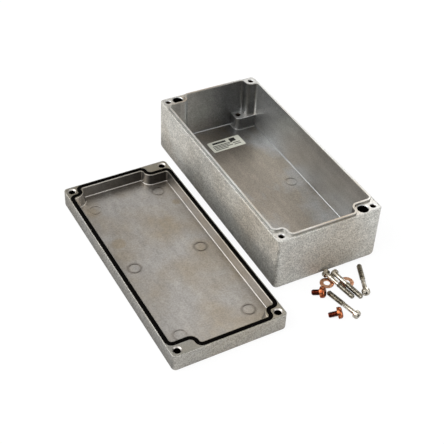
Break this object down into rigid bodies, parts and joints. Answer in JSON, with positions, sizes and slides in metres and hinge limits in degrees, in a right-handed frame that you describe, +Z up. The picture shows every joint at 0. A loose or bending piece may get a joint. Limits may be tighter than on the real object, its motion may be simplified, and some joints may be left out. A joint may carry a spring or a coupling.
{
  "type": "die cast aluminium enclosure",
  "caption": "Die cast aluminium box lying open: deep base, shallow gasketed lid inner face up beside it, and the loose lid screws, earth screws and washers.",
  "frame": {"origin": "centre of the base's flat underside, on the table", "axes": "+Z up out of the open base; the long side of base and lid runs along Y; the lid lies at -X and the loose screws in front, at -Y"},
  "size_m": [0.171, 0.2199, 0.045],
  "materials": {
    "base": "as cast, satin",
    "lid": "as cast, satin",
    "gasket": "matte",
    "label": "silvery film",
    "lid_screws": "bright zinc plate",
    "earth_screws": "copper coloured plate",
    "earth_washers": "satin copper"
  },
  "bodies": {
    "root": {"base": "base", "lid": "lid", "gasket": "gasket", "label": "label", "lid_screw_1": "lid_screws", "lid_screw_2": "lid_screws", "lid_screw_3": "lid_screws", "lid_screw_4": "lid_screws", "earth_screw_1": "earth_screws", "earth_screw_2": "earth_screws", "earth_washer_1": "earth_washers", "earth_washer_2": "earth_washers"}
  },
  "joints": []
}
